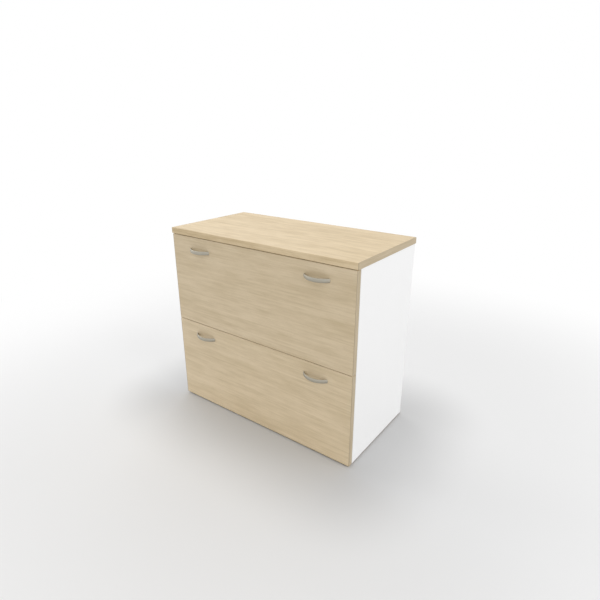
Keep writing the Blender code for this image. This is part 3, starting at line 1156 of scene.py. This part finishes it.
@dataclass
class Drawer:
    """One drawer: its oak front and handles, its board box, its file rails and its screws."""

    level: Level
    front_oak: Material
    finishes: Finishes
    front_band: float = 0.002
    front_arris: float = 0.0005
    handle_screw_spacing: float = 0.092
    fixings: Pair = (-0.160, 0.160)
    fixing_inset: float = 0.055
    corner_screw_inset: float = 0.006
    corner_screw_ends: float = 0.030
    corner_screw_rise: float = 0.030

    @property
    def body(self) -> str:
        """The drawer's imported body."""
        return f"{self.level.value}_drawer"

    def node(self, rest: str) -> str:
        """The full name of one of this level's nodes."""
        return f"{self.level.value}_{rest}"

    def build(self) -> None:
        """Builds and dresses the drawer."""
        looks = (self.front_oak, self.finishes.front_end_oak)
        front = self.node("drawer_front")
        BandedBoard(front, self.body, Axis.Y, *looks, self.front_band, self.front_arris).build()
        for side in Side:
            handle = self.node(f"handle_{side.word}")
            BowHandle(handle, self.body, self.finishes.satin_nickel).build()
            bumper = self.node(f"bumper_{side.word}")
            smooth_node(bumper, self.body, self.finishes.clear_pad, "clear_bumper")
        for board in ("front", "back", "left", "right"):
            finish_node(self.node(f"box_{board}"), self.finishes.box_white)
        finish_node(self.node("box_bottom"), self.finishes.hardboard)
        for rail in ("left", "centre", "right"):
            finish_node(self.node(f"file_rail_{rail}"), self.finishes.aluminium)
        self.screw_handles()
        self.screw_front()
        self.screw_corners()

    def screw_handles(self) -> None:
        """Puts the handles' screws in the box front's inner face."""
        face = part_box(self.node("box_front"))[1].y
        points = []
        for side in Side:
            low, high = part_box(self.node(f"handle_{side.word}"))
            middle = (low + high) / 2
            for step in (-self.handle_screw_spacing / 2, self.handle_screw_spacing / 2):
                points.append(Vector((middle.x + step, face, middle.z)))
        name = self.node("handle_screws")
        TRUSS_SCREW.drive(name, points, Facing.BACK, self.body, self.finishes.zinc)

    def screw_front(self) -> None:
        """Puts the screws that hold the oak front in the box front's inner face."""
        low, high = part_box(self.node("box_front"))
        heights = (low.z + self.fixing_inset, high.z - self.fixing_inset)
        points = [Vector((x, high.y, z)) for x in self.fixings for z in heights]
        name = self.node("front_screws")
        PAN_SCREW.drive(name, points, Facing.BACK, self.body, self.finishes.zinc)

    def screw_corners(self) -> None:
        """Puts the screws that join the box's sides to its front and back."""
        for side in Side:
            low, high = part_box(self.node(f"box_{side.word}"))
            face = x_under(side.outward, low, high)
            ends = (low.y + self.corner_screw_inset, high.y - self.corner_screw_inset)
            middle = (low.z + high.z) / 2 + self.corner_screw_rise
            heights = (low.z + self.corner_screw_ends, middle, high.z - self.corner_screw_ends)
            points = [Vector((face, y, z)) for y in ends for z in heights]
            name = self.node(f"box_screws_{side.word}")
            FLUSH_SCREW.drive(name, points, side.outward, self.body, self.finishes.zinc)


@dataclass
class Runner:
    """One telescopic runner: three rolled members, two ball cages and the screws that hold it."""

    level: Level
    side: Side
    finishes: Finishes
    ball_radius: float = 0.0024
    balls_per_row: int = 4
    holes: int = 3
    strip: float = 0.0012

    def node(self, rest: str) -> str:
        """The full name of one of this runner's nodes."""
        return f"{self.level.value}_{rest}_{self.side.word}"

    def build(self) -> None:
        """Builds and dresses the runner."""
        level, side = self.level.value, self.side.word
        bodies = {
            "runner_outer": "carcass",
            "runner_middle": f"{level}_middle_member_{side}",
            "runner_inner": f"{level}_drawer",
            "ball_cage_outer": f"{level}_outer_cage_{side}",
            "ball_cage_inner": f"{level}_inner_cage_{side}",
        }
        for kind, body in bodies.items():
            smooth_node(self.node(kind), body, self.finishes.zinc, "runner_steel")
        for place in ("outer", "inner"):
            self.build_balls(place, bodies[f"ball_cage_{place}"])
        self.screw_members()

    def build_balls(self, place: str, body: str) -> None:
        """Builds a cage's balls, in its upper and lower rows.

        Args:
            place: which of the two cages, outer or inner.
            body: the cage's body.
        """
        low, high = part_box(self.node(f"ball_cage_{place}"))
        x = x_under(self.side.inward, low, high, self.ball_radius)
        places = [
            Matrix.Translation((x, y, z))
            for z in (low.z + self.ball_radius, high.z - self.ball_radius)
            for y in middles(low.y, high.y, self.balls_per_row)
        ]
        balls = Piece.ball("ball", self.ball_radius).copies(self.node(f"balls_{place}"), places)
        balls.paint(self.finishes.zinc).hang(body, "runner_steel")

    def screw_members(self) -> None:
        """Puts the screws in the outer and inner members' holes."""
        inward, outward = self.side.inward, self.side.outward
        points = self.hole_points("runner_outer", outward)
        RUNNER_SCREW.drive(self.node("cabinet_screws"), points, inward, "carcass", self.finishes.zinc)
        points = self.hole_points("runner_inner", inward)
        body = f"{self.level.value}_drawer"
        PAN_SCREW.drive(self.node("drawer_screws"), points, outward, body, self.finishes.zinc)

    def hole_points(self, member: str, web: Facing) -> list[Vector]:
        """The middles of a member's screw holes, where the heads are seated.

        Args:
            member: the member's kind, as in its node's name.
            web: the side of the member that its web is on.

        Returns:
            The points, from front to back.
        """
        low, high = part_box(self.node(member))
        x = x_under(web, low, high, self.strip)
        return [Vector((x, y, (low.z + high.z) / 2)) for y in middles(low.y, high.y, self.holes)]


# Studio


@dataclass(frozen=True)
class Softbox:
    """A square area lamp that looks at the cabinet's middle."""

    name: str
    azimuth: float
    elevation: float
    power: float
    distance: float = 3.2
    size: float = 2.4
    aim: Triple = (0.0, 0.0, 0.35)

    def build(self) -> None:
        """Adds the lamp."""
        lamp = bpy.data.lights.new(self.name, "AREA")
        lamp.shape = "SQUARE"
        lamp.size = self.size
        lamp.energy = self.power
        thing = linked(self.name, lamp)
        turn, lift = math.radians(self.azimuth), math.radians(self.elevation)
        level = math.cos(lift)
        away = Vector((math.sin(turn) * level, -math.cos(turn) * level, math.sin(lift)))
        thing.location = Vector(self.aim) + away * self.distance
        thing.rotation_euler = (-away).to_track_quat("-Z", "Y").to_euler()


@dataclass
class Studio:
    """Camera, pale floor, soft lamps and a white surround."""

    camera_place: Triple = (1.0095, -1.2890, 1.0729)
    camera_yaw: float = 36.413
    camera_pitch: float = 20.800
    camera_roll: float = 0.080
    camera_lens: float = 28.037
    sensor_width: float = 36.0
    floor_radius: float = 14.0
    floor_sides: int = 96
    floor_roughness: float = 0.7
    # Painted contact shadow: the grey that the camera sees on the floor next to the cabinet
    floor_near: Triple = (0.590,) * 3
    floor_far: Triple = (0.806,) * 3
    floor_bounce: Triple = (0.96,) * 3
    # How far the painted contact shadow reaches out from the cabinet
    near_reach: float = 0.35
    fade_start: float = 0.5
    fade_end: float = 1.8
    ambient: float = 0.731
    lamps: tuple[Softbox, ...] = (
        Softbox("left_softbox", azimuth=270.0, elevation=30.0, power=27.0),
        Softbox("right_softbox", azimuth=90.0, elevation=30.0, power=28.6),
        Softbox("back_softbox", azimuth=225.0, elevation=50.0, power=11.8, size=1.3),
    )

    def build(self) -> None:
        """Sets up the studio round the cabinet."""
        self.build_camera()
        self.build_floor()
        self.build_surround()
        for lamp in self.lamps:
            lamp.build()
        bpy.context.scene.view_settings.view_transform = "Standard"

    def build_camera(self) -> None:
        """Puts the camera where the photograph was taken from."""
        data = bpy.data.cameras.new("photo_camera")
        data.lens = self.camera_lens
        data.sensor_width = self.sensor_width
        camera = linked("photo_camera", data)
        turn = Matrix.Rotation(math.radians(self.camera_yaw), 4, "Z")
        tilt = Matrix.Rotation(math.radians(90.0 - self.camera_pitch), 4, "X")
        roll = Matrix.Rotation(math.radians(self.camera_roll), 4, "Z")
        camera.matrix_world = Matrix.Translation(self.camera_place) @ turn @ tilt @ roll
        bpy.context.scene.camera = camera

    def build_floor(self) -> None:
        """Lays the floor, which fades to white round the cabinet."""
        finish = self.floor_finish()
        Piece.clear_selection()
        bpy.ops.mesh.primitive_circle_add(
            vertices=self.floor_sides, radius=self.floor_radius, fill_type="NGON"
        )
        floor = Piece(bpy.context.active_object, "studio_floor")
        floor.paint(finish)
        floor.thing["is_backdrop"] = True

    def floor_finish(self) -> Material:
        """The floor's finish: matt, with a painted contact shadow of soft grey near the cabinet, and a
        fade to white further off.

        It is made before the floor is laid, while the scene holds the cabinet alone. The painted shadow
        shows only to the camera, in gloss and through clear pieces. To soft light, which it throws back on
        the cabinet, the floor is as pale there as a white studio floor.

        Returns:
            The finish.
        """
        material, graph = new_graph("studio_floor")
        distance = self.distance_from_cabinet(graph)
        shown = shown_directly(graph)
        far = distance.over(self.fade_start, self.fade_end) * shown
        # Painted contact shadow: for camera, gloss and transmission rays the floor darkens towards the
        # cabinet
        painted_shadow_share = 1.0 - distance.over(0.0, self.near_reach)
        grey = graph.mix(painted_shadow_share, self.floor_far, graph.mix(shown, self.floor_bounce, self.floor_near))
        sockets = {"Base Color": grey, "Roughness": self.floor_roughness}
        matt = graph.signal("ShaderNodeBsdfPrincipled", sockets)
        plain = graph.signal("ShaderNodeEmission", {"Color": WHITE_LIGHT, "Strength": 1.0})
        mixed = graph.signal("ShaderNodeMixShader", {0: far, 1: matt, 2: plain})
        graph.node("ShaderNodeOutputMaterial", {"Surface": mixed})
        return material

    @staticmethod
    def distance_from_cabinet(graph: Graph) -> Signal:
        """How far a point of the floor is from the cabinet's outline.

        Args:
            graph: the floor's graph.

        Returns:
            The distance in metres, 0 under the cabinet.
        """
        low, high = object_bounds()
        middle, half = (low + high) / 2, (high - low) / 2
        across = graph.vector_math("SUBTRACT", graph.place(), (middle.x, middle.y, 0.0))
        mirrored = graph.vector_math("ABSOLUTE", across)
        beyond = graph.vector_math("SUBTRACT", mirrored, (half.x, half.y, 0.0))
        outside = graph.vector_math("MAXIMUM", beyond, (0.0, 0.0, 0.0))
        return graph.vector_math("LENGTH", outside, output="Value")

    def build_surround(self) -> None:
        """Makes the white world that lights the cabinet softly from all round."""
        world = bpy.data.worlds.new("studio_surround")
        world.use_nodes = True
        bpy.context.scene.world = world
        graph = Graph(world.node_tree)
        strength = self.ambient + (1.0 - self.ambient) * shown_directly(graph)
        sockets = {"Color": WHITE_LIGHT, "Strength": strength}
        background = graph.signal("ShaderNodeBackground", sockets)
        graph.node("ShaderNodeOutputWorld", {"Surface": background})


def shown_directly(graph: Graph) -> Signal:
    """1 for rays that show the surround itself: the camera's, gloss's and those through clear pieces.

    Args:
        graph: the graph that asks.

    Returns:
        1 or 0.
    """
    path = graph.node("ShaderNodeLightPath", {})
    kinds = ("Camera", "Glossy", "Transmission")
    rays = [Signal(graph, path.outputs[f"Is {kind} Ray"]) for kind in kinds]
    return graph.math("MAXIMUM", graph.math("MAXIMUM", rays[0], rays[1]), rays[2])


def main() -> None:
    """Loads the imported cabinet, dresses it, and sets it in the studio."""
    logging.basicConfig(level=logging.INFO, format="%(name)s: %(message)s")
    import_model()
    finishes = Finishes()
    Carcass(finishes).build()
    oaks = {Level.LOWER: finishes.lower_oak, Level.UPPER: finishes.upper_oak}
    for level, oak in oaks.items():
        Drawer(level, oak, finishes).build()
        for side in Side:
            Runner(level, side, finishes).build()
    Studio().build()


if __name__ == "__main__":
    main()
